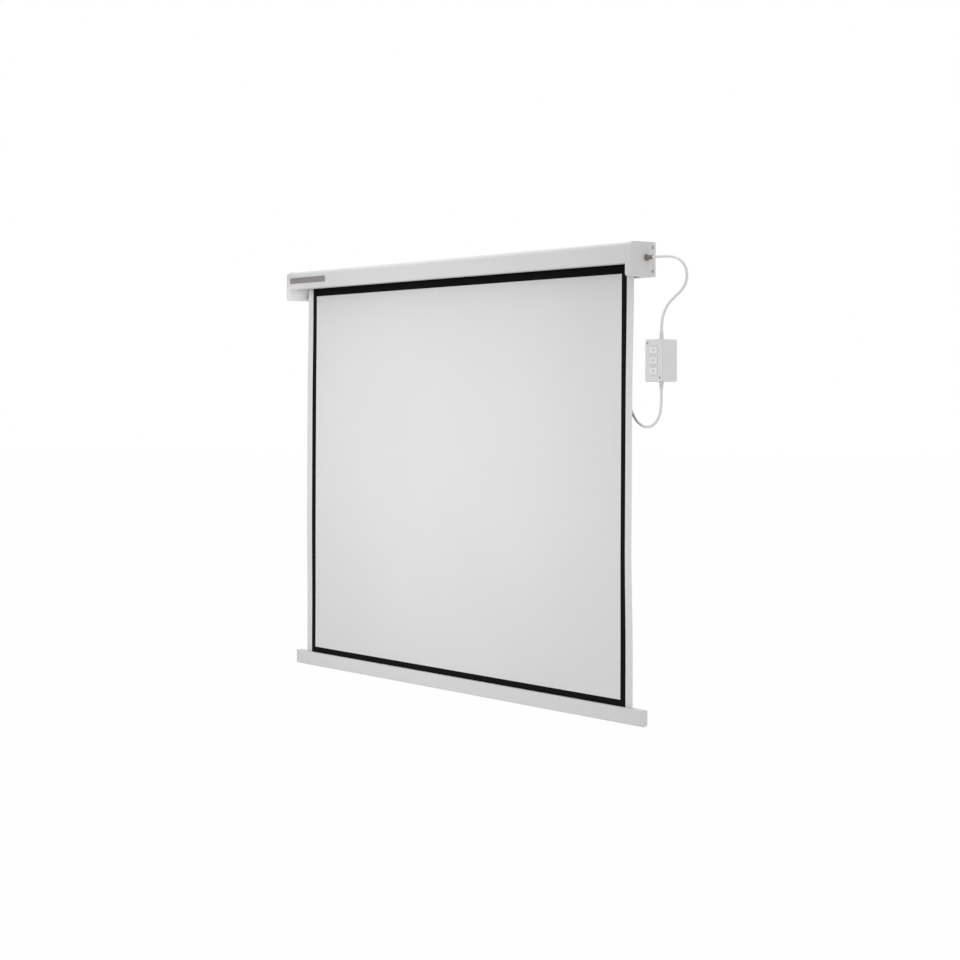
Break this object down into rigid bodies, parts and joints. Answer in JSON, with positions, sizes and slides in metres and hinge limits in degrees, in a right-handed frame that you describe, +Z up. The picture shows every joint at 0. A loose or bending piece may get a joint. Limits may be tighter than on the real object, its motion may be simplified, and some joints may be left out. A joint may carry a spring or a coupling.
{
  "type": "motorized projection screen",
  "caption": "Wall-hung electric projection screen: case with a tubular motor in its roller, bordered cloth, weighted bottom bar, wall switch box, leads and wall brackets.",
  "frame": {"origin": "on the wall plane, at the middle of the case's length and of its height", "axes": "+X along the case to the viewer's right, +Y into the wall, +Z up"},
  "size_m": [1.7703, 0.0893, 1.2203],
  "materials": {
    "white_paint": "smooth white powder coat on sheet steel",
    "bar_paint": "white powder coat on an aluminium extrusion",
    "white_plastic": "fine-grained white moulding",
    "box_plastic": "satin white moulding",
    "key_plastic": "polished white moulding",
    "plug_plastic": "soft white moulding",
    "grey_plastic": "grey engineering plastic",
    "black_plastic": "black engineering plastic",
    "yellow_plastic": "yellow moulding",
    "badge_grey": "blank grey plate, satin",
    "capacitor_shell": "smooth white can",
    "zinc_steel": "zinc-plated sheet steel",
    "bright_steel": "turned bright steel",
    "brake_steel": "dark brake disc and magnet",
    "copper_winding": "steel laminations with copper windings",
    "bronze": "sintered bronze",
    "pin_brass": "nickel-plated brass",
    "gland_rubber": "grey rubber sleeve",
    "lead_white": "white flexible sheath",
    "cloth_white": "matte white screen cloth with a black border",
    "cloth_black": "matte black back and border of the screen cloth"
  },
  "bodies": {
    "case": {"case_housing": "white_paint", "front_cover": "white_paint", "left_end_cap": "white_plastic", "right_end_cap": "white_plastic", "left_end_plate": "white_paint", "right_end_plate": "white_paint", "left_cap_screw_upper": "bright_steel", "left_cap_screw_lower": "bright_steel", "right_cap_screw_upper": "bright_steel", "right_cap_screw_lower": "bright_steel", "badge_plate": "badge_grey", "left_wall_bracket": "zinc_steel", "right_wall_bracket": "zinc_steel", "left_locking_screw": "bright_steel", "right_locking_screw": "bright_steel", "idle_pin": "bright_steel", "motor_head": "black_plastic", "motor_housing": "zinc_steel", "planetary_gearbox": "grey_plastic", "motor_stator": "copper_winding", "motor_rotor": "bright_steel", "motor_brake": "brake_steel", "run_capacitor": "capacitor_shell", "screen_fabric": "cloth_white", "switch_back_box": "box_plastic", "switch_front_cover": "box_plastic", "switch_module": "grey_plastic", "box_screw_upper": "bright_steel", "box_screw_lower": "bright_steel", "switch_top_gland": "lead_white", "switch_bottom_gland": "lead_white", "case_gland": "gland_rubber", "terminal_block": "box_plastic", "control_lead": "lead_white", "mains_lead": "lead_white", "mains_lead_coil": "lead_white", "mains_lead_tail": "lead_white", "lead_tie": "black_plastic", "mains_plug": "plug_plastic", "plug_pin_left": "pin_brass", "plug_pin_right": "pin_brass"},
    "roller": {"roller_tube": "zinc_steel", "fabric_roll": "cloth_black", "fabric_spline": "grey_plastic", "crown_wheel": "black_plastic", "drive_wheel": "black_plastic", "output_shaft": "bright_steel", "idle_hub": "black_plastic", "idle_bush": "bronze"},
    "bar": {"bottom_bar": "bar_paint", "left_bar_cap": "white_plastic", "right_bar_cap": "white_plastic", "hem_rod": "bright_steel", "weight_rod": "zinc_steel"},
    "up_button": {"up_key": "key_plastic"},
    "stop_button": {"stop_key": "key_plastic"},
    "down_button": {"down_key": "key_plastic"},
    "upper_limit_setting": {"upper_limit_screw": "yellow_plastic"},
    "lower_limit_setting": {"lower_limit_screw": "white_plastic"}
  },
  "joints": [
    {"name": "screen_lift", "type": "slide", "parent": "case", "child": "bar", "axis": [0, 0, 1], "range_m": [0, 1.087], "deforming": ["screen_fabric"]},
    {"name": "roller_spin", "type": "hinge", "parent": "case", "child": "roller", "pos_m": [0, -0.0576, 0.016], "axis": [1, 0, 0], "range_deg": [0, 2890]},
    {"name": "up_key_press", "type": "slide", "parent": "case", "child": "up_button", "axis": [0, 1, 0], "range_m": [0, 0.0025], "stiffness_N_per_m": 500, "springref_m": -0.002},
    {"name": "stop_key_press", "type": "slide", "parent": "case", "child": "stop_button", "axis": [0, 1, 0], "range_m": [0, 0.0025], "stiffness_N_per_m": 500, "springref_m": -0.002},
    {"name": "down_key_press", "type": "slide", "parent": "case", "child": "down_button", "axis": [0, 1, 0], "range_m": [0, 0.0025], "stiffness_N_per_m": 500, "springref_m": -0.002},
    {"name": "upper_limit_turn", "type": "hinge", "parent": "case", "child": "upper_limit_setting", "pos_m": [0.7757, -0.0526, 0.001], "axis": [0, 0, 1], "continuous": true},
    {"name": "lower_limit_turn", "type": "hinge", "parent": "case", "child": "lower_limit_setting", "pos_m": [0.7825, -0.0526, 0.001], "axis": [0, 0, 1], "continuous": true}
  ],
  "couplings": [
    {"joint": "roller_spin", "follows": "screen_lift", "rad_per_m": 46.296}
  ]
}
